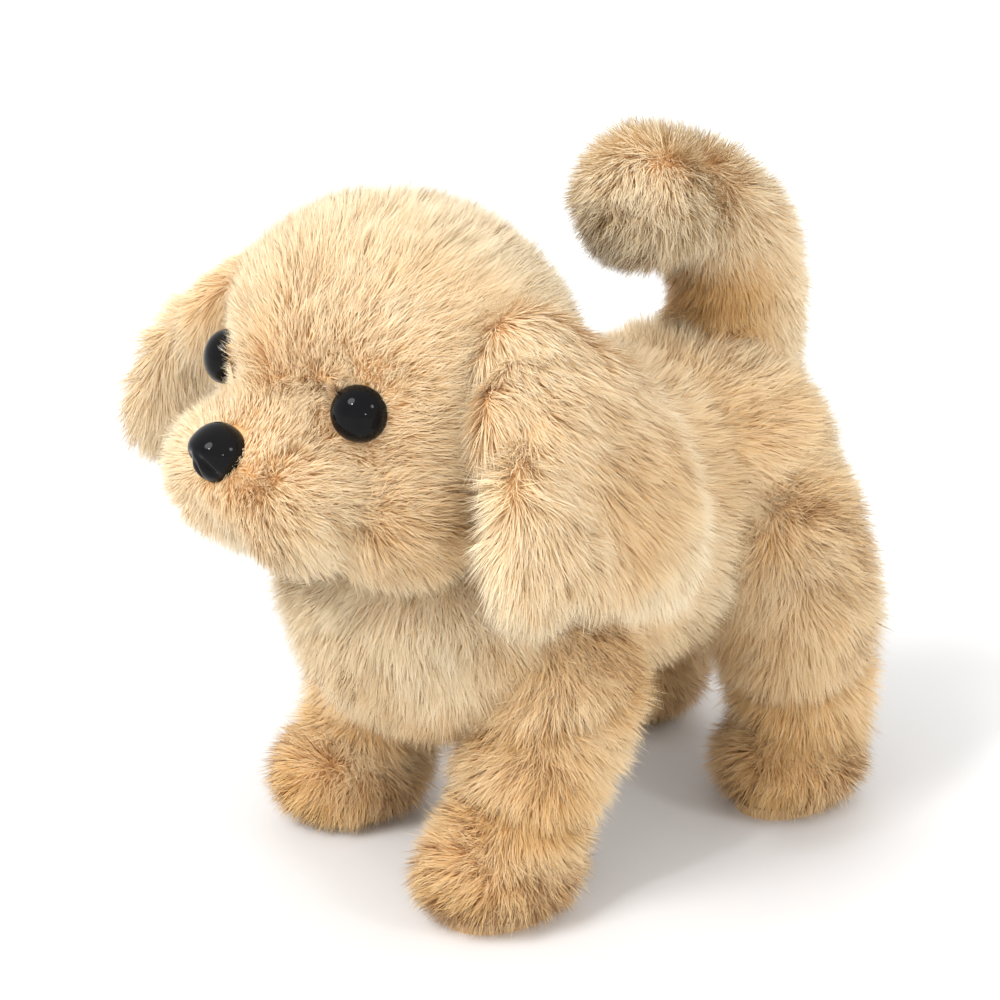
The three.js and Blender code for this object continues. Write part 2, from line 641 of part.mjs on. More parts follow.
function headPlush() {
  const seats = union(
    ellipsoid([0, CRANIUM.y, CRANIUM.z], offset(CRANIUM.r, 0.6)),
    rodZ([0, NECK.y], 9, [60, 96], 20),
    bothSides(eyeSeat()),
    ellipsoid([0, NOSE.y, NOSE.z], offset(NOSE.r, 0.4)),
    rodY([0, NOSE.z], 6, [-95, NOSE.y]),
    rodY([0, NOSE.z], NOSE_STEM.radius + 0.3, [NOSE.y, NOSE_STEM.end + 0.5], 12),
    rodY([0, NOSE.z], 5, grow(NOSE_WASHER, 0.3), 16));
  return headForm().subtract(seats);
}

node('head_plush', headPlush(), FUR_LIGHT, SOFT);

function ear() {
  const root = ellipsoid([39, -32, 121], [7, 15, 12], -38, 12, 8);
  const flap = ellipsoid([0, 0, 0], EAR_FLAP.r, EAR_FLAP.tilt, 14, 10)
    .rotate([0, 0, EAR_FLAP.flare])
    .translate([EAR_FLAP.x, EAR_FLAP.y, EAR_FLAP.z]);
  return union(root, flap).subtract(headForm(0.5));
}

node('ear_left', ear(), FUR_LIGHT, SOFT);
node('ear_right', mirrored(ear()), FUR_LIGHT, SOFT);

const onMidPlane = (points) => points.map(([y, z]) => [0, y, z]);

function tailStem(radius) {
  return tube(onMidPlane([[TAIL_PIVOT_Y, 88.6], [55.5, 95], [58, 104], [58, 112]]), radius, 8, 8);
}

node('tail_lever', union(
  rodZ([0, TAIL_PIVOT_Y], 5, [86.4, 89.2]),
  tailStem(2.0)), LEG_PLASTIC);

function tailPlush() {
  const [tipY, tipZ] = TAIL_PATH[TAIL_PATH.length - 1];
  return union(
    tube(onMidPlane(TAIL_PATH), TAIL_RADIUS, 8, 12),
    ellipsoid([0, tipY, tipZ], [TAIL_TUFT, TAIL_TUFT, TAIL_TUFT], 0, 14, 8),
  ).subtract(tube(onMidPlane([[51, 82], [TAIL_PIVOT_Y, 88.6], [55.5, 95], [58, 104], [58, 113]]), 2.5, 10, 8));
}

node('tail_plush', tailPlush(), FUR_LIGHT, SOFT);

// ---------------------------------------------------------------- torso

// The room one leg needs at a given swing, as seen from the side.
function legRoom(end) {
  const [x0] = LEG_PLUSH;
  let room;
  for (const swing of [-SWING, 0, SWING]) {
    const one = setOnHip(end, swing, bar([0, 0], ankle(end), LEG_RADIUS[end] + 1.6, [x0 - 1, 50]));
    room = room ? room.add(one) : one;
  }
  return room;
}

function torsoPlush() {
  const form = union(
    roundedBox([-TORSO.x, TORSO.x], [TORSO.y0, TORSO.y1], [TORSO.z0, TORSO.z1], TORSO.corner, 3),
    ellipsoid([0, CHEST.y, CHEST.z], [CHEST.r, CHEST.r, CHEST.r]),
  ).intersect(ellipsoid([0, BARREL.y, BARREL.z], BARREL.r, 0, 24, 16));
  const mechanism = roundedBox([-PLUSH_INNER_X, PLUSH_INNER_X], [-34, 63], [40.6, 87.4], 7, 2);
  const around = plate([
    [-25.5, 40], [61.5, 40], [61.5, 87], [-25.5, 87],
  ], [-HOUSING_X - 0.5, HOUSING_X + 0.5]);
  const belly = box([-16.6, 16.6], [-25.4, 53], [20, 50]);
  const tailHole = rodZ([0, TAIL_PIVOT_Y + 3.5], 14, [85, 115]);
  return cut(form, mechanism, around, belly, tailHole,
    headForm(HEAD_CARVE), bothSides(legRoom('front')), bothSides(legRoom('rear')));
}

node('torso_plush', torsoPlush(), FUR, SOFT);

export default group;
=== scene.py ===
"""Walking plush puppy: stuffed skins, fur, eyes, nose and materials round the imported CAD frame.

Sizes are in millimetres here and become metres as each mesh is made. The puppy faces -Y and +X is its left.
"""

import math

import bpy
import numpy as np
from mathutils import Matrix, Vector, noise
from mathutils.kdtree import KDTree


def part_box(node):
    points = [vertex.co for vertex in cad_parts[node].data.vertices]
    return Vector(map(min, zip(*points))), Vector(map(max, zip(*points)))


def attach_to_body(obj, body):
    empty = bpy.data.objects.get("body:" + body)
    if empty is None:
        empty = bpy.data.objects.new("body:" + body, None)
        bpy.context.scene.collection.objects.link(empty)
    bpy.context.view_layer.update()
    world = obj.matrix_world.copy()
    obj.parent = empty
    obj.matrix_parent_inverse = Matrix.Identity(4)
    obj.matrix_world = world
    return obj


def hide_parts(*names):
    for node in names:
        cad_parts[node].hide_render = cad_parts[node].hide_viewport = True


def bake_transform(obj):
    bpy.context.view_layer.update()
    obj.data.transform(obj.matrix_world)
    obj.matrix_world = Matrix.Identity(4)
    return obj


MM = 0.001
SEED = 11

# ---------------------------------------------------------------- driving sizes

DENSITY = 9.0                # strands on one square millimetre of cloth
STRAND_WIDTH = 0.175
STRAND_STEPS = (0.0, 0.5, 1.0)      # where a strand's rows of points lie, from root to tip
STRAND_TAPER = (1.0, 0.8)           # share of the width at each row below the tip
MAX_STRANDS = 64000          # strands in one mesh
TONE_CELLS = 64              # columns of the fur colour map, one for each tone
CLUMP = 34                   # strands that lean together into one tuft
FLOOR_GAP = 0.3              # no strand's middle line runs lower than this
FLOW_NOISE = ((0.6, 13.0, 0.0), (0.55, 5.0, 40.0))   # strength, wavelength and offset of each noise
GROWTH_SPREAD = 0.28         # how far strands stray from the combed direction
LENGTH_RANGE = (0.72, 1.1)   # shares of the wanted length
WIDTH_RANGE = (0.7, 1.2)
CURL_FLOW = 0.2              # how much a strand curls along the combed direction
CURL_SPREAD = 0.13
TUFT_RANGE = (0.1, 0.42)     # how much of the way a tip goes to the tip of its tuft
TUFT_CURVE = 1.6
TONE_PATCH = {"strength": 0.3, "wavelength": 16.0, "offset": 90.0}
TONE_SPREAD = 0.12
SHADING = {"cloth": 0.75, "ribbon": 0.3, "strand": 0.2}   # whose direction the light sees
COVERED = 3                  # no fur starts this deep inside a neighbouring form
COVERED_BY_HEAD = 2.5        # the same for the torso's fur under the head
COVERED_BY_TORSO = 4         # the same for the head's fur above the torso
CLOTH_VOXEL = 1.8
STUFFING = {"pressure": 4.0, "frames": 20, "most": 1.8}   # most caps how far a point may move

LEG_X = 28.5
PAW = {"width": 12.5, "height": 10.0, "z": 9.5}
LEGS = {
    "front_left": {"side": 1, "hip_y": -12, "foot_y": -30.5, "front": True},
    "front_right": {"side": -1, "hip_y": -12, "foot_y": -26, "front": True},
    "rear_left": {"side": 1, "hip_y": 52, "foot_y": 52.5, "front": False},
    "rear_right": {"side": -1, "hip_y": 52, "foot_y": 57, "front": False},
}
SOLE_TOP = 2.4
SOLE_EDGE = 0.4              # bare cloth above the sole
FRONT_FOLDS = ((40, 0.4), (24, -0.25))   # height and slope of each crease in a leg
REAR_FOLDS = ((33, 0.3),)
FOLD_DEPTH = 2.4
FOLD_WIDTH = 2.6
LEG_TRIM = {"x": 80, "y": 60, "low": -20, "high": 90}    # how far the boxes that trim a leg reach
LEG_INNER_X = 26.6           # the link bars pass inside this, above LEG_INNER_Z
LEG_INNER_Z = 40
LEG_HOLLOW_X = 18.4          # the battery door swings inside this, above LEG_HOLLOW_Z
LEG_HOLLOW_Z = 24
CAVITY = ((-26.2, -33, 43), (26.2, 62, 86))            # room for the mechanism housing
HIP_ROOM = ((-26.1, -27, 42.5), (26.1, 60, 56.5))      # room for the leg frames and link bars
TORSO_WALL = 1.2             # cloth left outside the room for the mechanism
BELLY = ((-17, -26, 20), (17, 54, 60))                 # opening for the battery door and the switch
BELLY_EDGE = 56              # no fur starts below this height inside the opening
NOSE_TIP = (0, -84, 104)
SKULL = {"centre": (0, -36.5, 110.5), "radii": (35.5, 33, 33.5)}
EYE = (23.5, -63.3, 115)
EYE_RADIUS = 5.6
EYE_SUNK = 1.4               # how far the bead is pulled into the stuffing
EYE_TUCK = 1.4               # how far under the bead's edge the fur still starts
NOSE_TUCK = 0.9
EYE_HEIGHT = 4.6             # half the thickness of the flattened bead
EYE_HOLLOW = {"at": (15.5, -68, 117.5), "radius": 8, "depth": 4.2}
NOSE_RADII = (6.2, -5.6, 5.8)       # the minus turns its face towards -Y
NOSTRIL = {"x": 2.9, "z": -0.9, "lean": (0.83, 0.55), "radii": (0.75, 2.3), "depth": 1.3}
NOSE_GROOVE = {"width": 0.6, "depth": 0.9}
NOSE_MIDDLE = (0, -78, 104)
NOSE_RADIUS = 6.5            # fur keeps this far from the nose's middle
NOSE_DEPTH = 5.2             # from the face of the nose's box back to the nose's middle
CHEEK_FOLD = {"at": (35, -47, 91), "radius": 6, "depth": 2.5}
CHEEK_SHADOW_FADE = 110             # square millimetres over which the painted shadow below each ear fades
TAIL_PATH = ((0, 57, 96), (0, 59, 112), (0, 56, 124), (0, 47, 133), (0, 38, 137))
TAIL_BALL = (0, 31, 137)
TORSO_PILE = 8.6             # length of the torso's fur, and of the tail's
TAIL_PILE = 7.0

CAMERA = {"azimuth": 51.0, "elevation": 21.0, "distance": 700, "target": (-35.3, 19.7, 60), "lens": 110.4}
SUNS = {                     # the direction towards each light, its strength and its width in degrees
    "key": ((-0.03, -0.66, 0.78), 1.5, 24),
    "rim": ((0.9, 0.25, 0.6), 0.5, 12),
    "catch_high": ((0.15, -0.85, 0.75), 0.5, 3.4),
    "catch_low": ((0.95, -0.4, 0.2), 0.25, 3),
}
SKY_STRENGTH = 1.04
GLOSS_SPREAD = 0.06          # how uneven the roughness of plastic and metal is
FLOOR_RADIUS = 2500


# ---------------------------------------------------------------- forms

def blob(centre, radii, tilt=0.0, flare=0.0):
    """An ellipsoid of a stuffed form, tilted about Y and then turned about Z by so many degrees."""
    tilted = Matrix.Rotation(math.radians(tilt), 3, "Y")
    turn = np.array(Matrix.Rotation(math.radians(flare), 3, "Z") @ tilted)
    return {"centre": np.array(centre, float), "radii": np.array(radii, float), "turn": turn}


def limb(path, radii, step=1.5):
    """Balls along a path, close enough to read as one limb."""
    found = []
    for (a, ra), (b, rb) in zip(zip(path, radii), zip(path[1:], radii[1:])):
        a, b = np.array(a, float), np.array(b, float)
        count = max(2, int(np.linalg.norm(b - a) / step))
        for t in np.linspace(0, 1, count, endpoint=False):
            radius = ra + (rb - ra) * t
            found.append(blob(a + (b - a) * t, (radius, radius, radius)))
    found.append(blob(path[-1], (radii[-1],) * 3))
    return found


def both_sides(form):
    """The same ellipsoid on the left and on the right."""
    flip = np.array((-1.0, 1.0, 1.0))
    other = dict(form, centre=form["centre"] * flip, turn=form["turn"] * flip[:, None] * flip)
    return [form, other]


def shrunk(forms, wall):
    """The same forms, smaller by the wall on every side."""
    return [dict(form, radii=form["radii"] - wall) for form in forms]


def depth_inside(forms, points):
    """About how deep each point lies inside the forms, in millimetres; negative outside."""
    deepest = np.full(len(points), -1e3)
    for form in forms:
        local = (points - form["centre"]) @ form["turn"]
        share = np.linalg.norm(local / form["radii"], axis=1)
        deepest = np.maximum(deepest, (1 - share) * form["radii"].min())
    return deepest


def head_forms():
    return [
        blob(SKULL["centre"], SKULL["radii"]),
        blob((0, -61.5, 98), (21.5, 21, 14.5)),
        *both_sides(blob((10.5, -67.5, 96), (13, 13.5, 12.5))),
        *both_sides(blob((19.5, -50, 92), (15.5, 15.5, 11.5))),
    ]


def ear_forms(side):
    forms = [
        blob((37.5, -32, 121), (6, 13, 12), -28),
        blob((45.5, -31, 113), (6.4, 23, 16), -28, 12),
        blob((53.5, -28, 102), (5.2, 27, 21), -20, 18),
        blob((56.5, -43, 101), (4.8, 15, 15), -12, 18),
        blob((59.5, -49.5, 94.5), (4.4, 10, 10.5), -12, 18),
        blob((51.5, -14.5, 87.5), (4.8, 13, 11.5), -12, 18),
    ]
    return [both_sides(form)[0 if side > 0 else 1] for form in forms]


def torso_forms():
    return [
        blob((0, -23, 66), (31, 31, 31)),
        blob((0, 12, 69), (30, 44, 32)),
        blob((0, 46, 72), (29, 25, 29)),
        blob((0, 55, 60), (26, 23, 25)),
    ]


def leg_forms(leg):
    side, hip_y, foot_y = leg["side"], leg["hip_y"], leg["foot_y"]
    x = side * LEG_X
    if leg["front"]:
        path = [(side * 22, hip_y - 1, 60), (side * 27.5, hip_y - 3, 47), (x, foot_y + 3, 19)]
        paw = blob((x, foot_y - 2, PAW["z"]), (PAW["width"], 15, PAW["height"]))
        return [*limb(path, (13, 13.5, 11)), paw]
    path = [(side * 21, hip_y - 3, 62), (side * 26.5, hip_y, 48), (x, foot_y + 3, 20)]
    paw = blob((x, foot_y - 1, PAW["z"]), (PAW["width"], 14, PAW["height"]))
    return [*limb(path, (17, 15, 11)), paw]


def tail_forms():
    return [*limb(TAIL_PATH, (12, 11.5, 11, 10, 9.5)), blob(TAIL_BALL, (12, 12, 12))]


# ---------------------------------------------------------------- meshes

def new_object(name, mesh):
    made = bpy.data.objects.new(name, mesh)
    bpy.context.scene.collection.objects.link(made)
    return made


def mesh_of(name, vertices, faces):
    """A mesh from points in millimetres."""
    mesh = bpy.data.meshes.new(name)
    mesh.from_pydata([tuple(v) for v in np.asarray(vertices, float) * MM], [], faces)
    mesh.update()
    return mesh


def sphere_grid(across=36, down=22):
    """Points and faces of a unit sphere."""
    points = [(0.0, 0.0, 1.0)]
    for row in range(1, down):
        polar = math.pi * row / down
        around = math.sin(polar)
        for column in range(across):
            turn = 2 * math.pi * column / across
            points.append((around * math.cos(turn), around * math.sin(turn), math.cos(polar)))
    points.append((0.0, 0.0, -1.0))
    last = len(points) - 1
    faces = []
    for column in range(across):
        after = (column + 1) % across
        faces.append((0, 1 + column, 1 + after))
        for row in range(down - 2):
            a = 1 + row * across
            faces.append((a + column, a + across + column, a + across + after, a + after))
        base = 1 + (down - 2) * across
        faces.append((base + column, last, base + after))
    return np.array(points), faces


def joined_forms(name, forms):
    """One mesh that holds every ellipsoid of the forms."""
    sphere, sphere_faces = sphere_grid()
    vertices, faces = [], []
    for form in forms:
        first = len(vertices) * len(sphere)
        vertices.append((sphere * form["radii"]) @ form["turn"].T + form["centre"])
        faces += [tuple(first + i for i in face) for face in sphere_faces]
    return mesh_of(name, np.concatenate(vertices), faces)


def smooth_shaded(obj):
    for polygon in obj.data.polygons:
        polygon.use_smooth = True


def apply_modifiers(obj):
    """Gives the object the mesh that its modifiers make."""
    graph = bpy.context.evaluated_depsgraph_get()
    made = bpy.data.meshes.new_from_object(obj.evaluated_get(graph))
    obj.modifiers.clear()
    obj.data = made


def box_mesh(name, low, high):
    """A closed box between two corners."""
    (x0, y0, z0), (x1, y1, z1) = low, high
    corners = [(x, y, z) for x in (x0, x1) for y in (y0, y1) for z in (z0, z1)]
    faces = [(0, 1, 3, 2), (4, 6, 7, 5), (0, 4, 5, 1), (2, 3, 7, 6), (0, 2, 6, 4), (1, 5, 7, 3)]
    return mesh_of(name, corners, faces)


def vertex_places(obj):
    """Where the mesh's vertices are, in millimetres."""
    places = np.empty(len(obj.data.vertices) * 3)
    obj.data.vertices.foreach_get("co", places)
    return places.reshape(-1, 3) / MM


def carve(obj, tool, operation="DIFFERENCE"):
    """Takes the tool away from the object, or keeps only what both share."""
    cut = obj.modifiers.new("cut", "BOOLEAN")
    cut.operation = operation
    cut.solver = "EXACT"
    cut.object = tool
    apply_modifiers(obj)
    bpy.data.objects.remove(tool)


def box_tool(low, high):
    return new_object("box_tool", box_mesh("box_tool", low, high))


def rounded_form(name, forms, smooth):
    """One closed rounded body that the forms melt into."""
    obj = new_object(name, joined_forms(name, forms))
    remesh = obj.modifiers.new("remesh", "REMESH")
    remesh.mode = "VOXEL"
    remesh.voxel_size = CLOTH_VOXEL * MM
    soften = obj.modifiers.new("soften", "SMOOTH")
    soften.factor = 0.6
    soften.iterations = smooth
    apply_modifiers(obj)
    return obj


def stuffed_skin(name, forms, smooth):
    """The cloth of one stuffed form, before its fur."""
    skin = rounded_form(name, forms, smooth)
    stuff(skin)
    smooth_shaded(skin)
    return skin


def stuff(skin):
    """Lets the stuffing press the cloth outwards: a short pressure simulation whose movement is capped."""
    before = vertex_places(skin)
    cloth = skin.modifiers.new("stuffing", "CLOTH")
    cloth.settings.use_pressure = True
    cloth.settings.uniform_pressure_force = STUFFING["pressure"]
    cloth.settings.effector_weights.gravity = 0
    cloth.point_cache.frame_start = 1
    cloth.point_cache.frame_end = STUFFING["frames"]
    for frame_number in range(1, STUFFING["frames"] + 1):
        bpy.context.scene.frame_set(frame_number)
    apply_modifiers(skin)
    bpy.context.scene.frame_set(1)
    moved = vertex_places(skin) - before
    reach = np.linalg.norm(moved, axis=1, keepdims=True)
    capped = before + moved * np.minimum(1, STUFFING["most"] / np.maximum(reach, 1e-6))
    skin.data.vertices.foreach_set("co", (capped * MM).ravel())
    skin.data.update()


# ---------------------------------------------------------------- fur

def unit(vectors):
    return vectors / np.maximum(np.linalg.norm(vectors, axis=1, keepdims=True), 1e-9)


def push_in(skin, depths):
    """Moves each vertex of a skin inwards by its own depth, in millimetres."""
    for vertex, depth in zip(skin.data.vertices, depths):
        vertex.co -= vertex.normal * float(depth * MM)
    skin.data.update()


def press(skin, at, radius, depth):
    """Pushes a soft hollow into a skin round a point, in millimetres."""
    away = np.linalg.norm(vertex_places(skin) - np.array(at), axis=1) / radius
    push_in(skin, depth * np.exp(-away ** 2))


def surface_samples(obj, density, rng):
    """Points spread evenly over a mesh with the surface direction at each, in millimetres."""
    mesh = obj.data
    mesh.calc_loop_triangles()
    points = vertex_places(obj)
    normals = np.empty(len(mesh.vertices) * 3)
    mesh.vertices.foreach_get("normal", normals)
    normals = normals.reshape(-1, 3)
    corners = np.empty(len(mesh.loop_triangles) * 3, np.int32)
    mesh.loop_triangles.foreach_get("vertices", corners)
    corners = corners.reshape(-1, 3)
    a, b, c = (points[corners[:, k]] for k in range(3))
    area = np.linalg.norm(np.cross(b - a, c - a), axis=1) / 2
    pick = rng.choice(len(area), int(area.sum() * density), p=area / area.sum())
    u, v = rng.random((2, len(pick)))
    fold = u + v > 1
    u[fold], v[fold] = 1 - u[fold], 1 - v[fold]
    weights = np.stack((1 - u - v, u, v), 1)
    roots = sum(points[corners[pick, k]] * weights[:, k:k + 1] for k in range(3))
    ups = sum(normals[corners[pick, k]] * weights[:, k:k + 1] for k in range(3))
    return roots, unit(ups)


def noise_field(points, wavelength, offset=0.0):
    """A smooth random vector at each point."""
    scaled = points / wavelength + offset
    return np.array([noise.noise_vector(Vector(p)) for p in scaled])


def tuft_pull(roots, tips, rng):
    """The step from each strand's tip to the tip of the tuft that it leans into."""
    heads = rng.choice(len(roots), max(1, len(roots) // CLUMP), replace=False)
    tree = KDTree(len(heads))
    for number, head in enumerate(heads):
        tree.insert(roots[head], number)
    tree.balance()
    nearest = heads[np.array([tree.find(p)[1] for p in roots])]
    return tips[nearest] - tips


def strand_corners():
    """The vertex numbers round each face of one ribbon, in one list, and where each face starts in it."""
    rows = len(STRAND_STEPS)
    corners = []
    starts = []
    for row in range(rows - 2):
        starts.append(len(corners))
        corners += [2 * row, 2 * row + 1, 2 * row + 3, 2 * row + 2]
    starts.append(len(corners))
    corners += [2 * rows - 4, 2 * rows - 3, 2 * rows - 2]
    return np.array(corners), np.array(starts)


def strand_places(count, per_strand, tones):
    """Where each vertex lies on the fur's colour map: across by tone, along from root to tip."""
    cell = np.floor(np.clip(tones, 0, 0.999) * TONE_CELLS)
    across = np.empty((count, per_strand))
    across[:, 0:-1:2] = (cell / TONE_CELLS)[:, None]
    across[:, 1:-1:2] = ((cell + 1) / TONE_CELLS)[:, None]
    across[:, -1] = (cell + 0.5) / TONE_CELLS
    along = np.empty(per_strand)
    along[0:-1:2] = STRAND_STEPS[:-1]
    along[1:-1:2] = STRAND_STEPS[:-1]
    along[-1] = 1
    return np.stack((across.ravel(), np.tile(along, count)), 1)


def strand_mesh(name, centres, sideways, widths, ups, tones):
    """Ribbons that taper to a point. centres holds each strand's points from root to tip."""
    count = len(centres)
    per_strand = 2 * (len(STRAND_STEPS) - 1) + 1
    vertices = np.empty((count, per_strand, 3))
    for row, taper in enumerate(STRAND_TAPER):
        half = sideways * (widths * taper / 2)[:, None]
        vertices[:, 2 * row] = centres[:, row] - half
        vertices[:, 2 * row + 1] = centres[:, row] + half
    vertices[:, -1] = centres[:, -1]
    corners, starts = strand_corners()
    offsets = np.arange(count)[:, None]
    loops = (corners[None, :] + offsets * per_strand).ravel()
    loop_starts = (starts[None, :] + offsets * len(corners)).ravel()
    mesh = bpy.data.meshes.new(name)
    mesh.vertices.add(count * per_strand)
    mesh.vertices.foreach_set("co", (vertices * MM).ravel())
    mesh.loops.add(len(loops))
    mesh.loops.foreach_set("vertex_index", loops.astype(np.int32))
    mesh.polygons.add(len(loop_starts))
    mesh.polygons.foreach_set("loop_start", loop_starts.astype(np.int32))
    mesh.update(calc_edges=True)
    mesh.polygons.foreach_set("use_smooth", np.ones(len(loop_starts), bool))
    uv = strand_places(count, per_strand, tones)[loops]
    mesh.uv_layers.new(name="OFBake").data.foreach_set("uv", uv.ravel())
    shading = unit(np.repeat(ups, per_strand, axis=0))
    mesh.normals_split_custom_set_from_vertices(shading.tolist())
    return mesh


def combed_flow(roots, ups, comb):
    """The direction that the pile is combed in at each root, made uneven and laid along the cloth."""
    flow = comb(roots)
    for strength, wavelength, offset in FLOW_NOISE:
        flow = flow + strength * noise_field(roots, wavelength, offset)
    return flow - ups * np.sum(flow * ups, axis=1, keepdims=True)


def strand_paths(roots, ups, flow, lengths, lean, rng):
    """The points of each strand from root to tip, and the direction that it grows in."""
    count = len(roots)
    growth = unit(ups + lean * flow + rng.normal(0, GROWTH_SPREAD, (count, 3)))
    curl = CURL_FLOW * flow + rng.normal(0, CURL_SPREAD, (count, 3))
    tips = roots + growth * lengths[:, None] + curl * lengths[:, None]
    pull = tuft_pull(roots, tips, rng) * rng.uniform(*TUFT_RANGE, count)[:, None]
    centres = np.empty((count, len(STRAND_STEPS), 3))
    for row, t in enumerate(STRAND_STEPS):
        bend = curl * (lengths * t * t)[:, None]
        centres[:, row] = roots + growth * (lengths * t)[:, None] + bend + pull * t ** TUFT_CURVE
    centres[:, :, 2] = np.maximum(centres[:, :, 2], FLOOR_GAP)
    return centres, growth


def ribbon_turns(growth, ups, rng):
    """Which way each ribbon is wide, and the direction that its shading faces."""
    spin = rng.uniform(-1.0, 1.0, len(growth))[:, None]
    side = unit(np.cross(growth, ups) + 1e-6)
    sideways = unit(side * np.cos(spin) + np.cross(growth, side) * np.sin(spin))
    faces = unit(np.cross(growth, sideways))
    faces *= np.sign(np.sum(faces * ups, axis=1, keepdims=True) + 1e-9)
    shading = unit(ups * SHADING["cloth"] + faces * SHADING["ribbon"] + growth * SHADING["strand"])
    flip = np.sum(np.cross(sideways, growth) * ups, axis=1) < 0
    sideways[flip] *= -1
    return sideways, shading


def grow_fur(skin, name, comb, length, keep, tone, material, attach, lean=0.7):
    """Grows strands on a skin. comb, length and tone give each root its direction, length and tone."""
    rng = np.random.default_rng([SEED, sum(map(ord, name))])
    roots, ups = surface_samples(skin, DENSITY * (1), rng)
    kept = keep(roots)
    roots, ups = roots[kept], ups[kept]
    count = len(roots)
    flow = combed_flow(roots, ups, comb)
    lengths = length(roots) * rng.uniform(*LENGTH_RANGE, count)
    centres, growth = strand_paths(roots, ups, flow, lengths, lean, rng)
    sideways, shading = ribbon_turns(growth, ups, rng)
    patch = noise_field(roots, TONE_PATCH["wavelength"], TONE_PATCH["offset"])[:, 0]
    tones = tone(roots) + TONE_PATCH["strength"] * patch + rng.normal(0, TONE_SPREAD, count)
    widths = STRAND_WIDTH * rng.uniform(*WIDTH_RANGE, count)
    shares = math.ceil(count / MAX_STRANDS)
    for part in range(shares):
        rows = slice(part, None, shares)
        title = f"fur_{name}_{part + 1}"
        mesh = strand_mesh(title, centres[rows], sideways[rows], widths[rows], shading[rows], tones[rows])
        piece = new_object(title, mesh)
        mesh.materials.append(material)
        attach(piece)


# ---------------------------------------------------------------- materials

def new_material(name):
    """A material with its node tree, its Principled node and a helper that adds nodes."""
    material = bpy.data.materials.new(name)
    material.use_nodes = True
    tree = material.node_tree
    shader = tree.nodes["Principled BSDF"]

    def add(kind, inputs=(), **settings):
        made = tree.nodes.new(kind)
        for key, value in settings.items():
            setattr(made, key, value)
        for key, value in dict(inputs).items():
            if isinstance(value, bpy.types.NodeSocket):
                tree.links.new(value, made.inputs[key])
            else:
                made.inputs[key].default_value = value
        return made

    return material, shader, add, tree.links


def ramp(add, factor, stops, kind="EASE"):
    """A colour ramp. stops are (place, linear colour)."""
    made = add("ShaderNodeValToRGB", {"Fac": factor})
    made.color_ramp.interpolation = kind
    elements = made.color_ramp.elements
    while len(elements) < len(stops):
        elements.new(0.5)
    for element, (place, colour) in zip(elements, stops):
        element.position = place
        element.color = (*colour, 1)
    return made.outputs["Color"]


def linear(red, green, blue):
    """A linear colour from its usual 0 to 255 numbers."""
    return tuple(
        ((v / 255 + 0.055) / 1.055) ** 2.4 if v > 10 else v / 255 / 12.92
        for v in (red, green, blue))


def fur_material():
    """Golden roots that fade to cream tips. The map's columns are tones, its rows run from root to tip."""
    material, shader, add, links = new_material("fur_pile")
    uv = add("ShaderNodeUVMap", uv_map="OFBake")
    parts = add("ShaderNodeSeparateXYZ", {"Vector": uv.outputs["UV"]})
    light = ramp(add, parts.outputs["Y"], [
        (0.0, linear(232, 192, 132)),
        (0.4, linear(249, 222, 176)),
        (1.0, linear(255, 243, 214)),
    ])
    dark = ramp(add, parts.outputs["Y"], [
        (0.0, linear(198, 130, 60)),
        (0.45, linear(228, 172, 96)),
        (1.0, linear(242, 203, 138)),
    ])
    # the tone mixes the golden ramp into the cream one; it carries the fur's uneven colour and also the
    # painted shade and painted light that the tone functions add
    mix = add("ShaderNodeMix", data_type="RGBA")
    links.new(parts.outputs["X"], mix.inputs["Factor"])
    links.new(dark, mix.inputs[6])
    links.new(light, mix.inputs[7])
    links.new(mix.outputs[2], shader.inputs["Base Color"])
    shader.inputs["Roughness"].default_value = 0.62
    shader.inputs["Specular IOR Level"].default_value = 0.35
    shader.inputs["Sheen Weight"].default_value = 0.25
    shader.inputs["Sheen Roughness"].default_value = 0.5
    return material


def backing_material():
    """The golden backing cloth that the pile grows from, a little uneven in colour."""
    material, shader, add, links = new_material("fur_backing")
    place = add("ShaderNodeTexCoord")
    cloud = add("ShaderNodeTexNoise", {"Vector": place.outputs["Object"], "Scale": 180.0, "Detail": 4.0})
    colour = ramp(add, cloud.outputs["Fac"], [
        (0.3, linear(210, 158, 98)),
        (0.7, linear(236, 192, 136)),
    ])
    links.new(colour, shader.inputs["Base Color"])
    shader.inputs["Roughness"].default_value = 0.9
    return material


def speckled(name, dark, light, roughness, scale=220.0, metal=0.0, bump=0.0, coat=0.0):
    """A moulded or metal surface: a faint uneven colour, uneven gloss and, if asked, a fine relief."""
    material, shader, add, links = new_material(name)
    place = add("ShaderNodeTexCoord")
    cloud = add("ShaderNodeTexNoise", {"Vector": place.outputs["Object"], "Scale": scale, "Detail": 5.0})
    links.new(ramp(add, cloud.outputs["Fac"], [(0.25, dark), (0.75, light)]), shader.inputs["Base Color"])
    gloss = add("ShaderNodeMapRange", {
        "Value": cloud.outputs["Fac"],
        "To Min": roughness - GLOSS_SPREAD,
        "To Max": roughness + GLOSS_SPREAD,
    })
    links.new(gloss.outputs["Result"], shader.inputs["Roughness"])
    shader.inputs["Metallic"].default_value = metal
    shader.inputs["Coat Weight"].default_value = coat
    if bump:
        relief = add("ShaderNodeBump", {"Height": cloud.outputs["Fac"], "Strength": bump, "Distance": 0.0002})
        links.new(relief.outputs["Normal"], shader.inputs["Normal"])
    return material


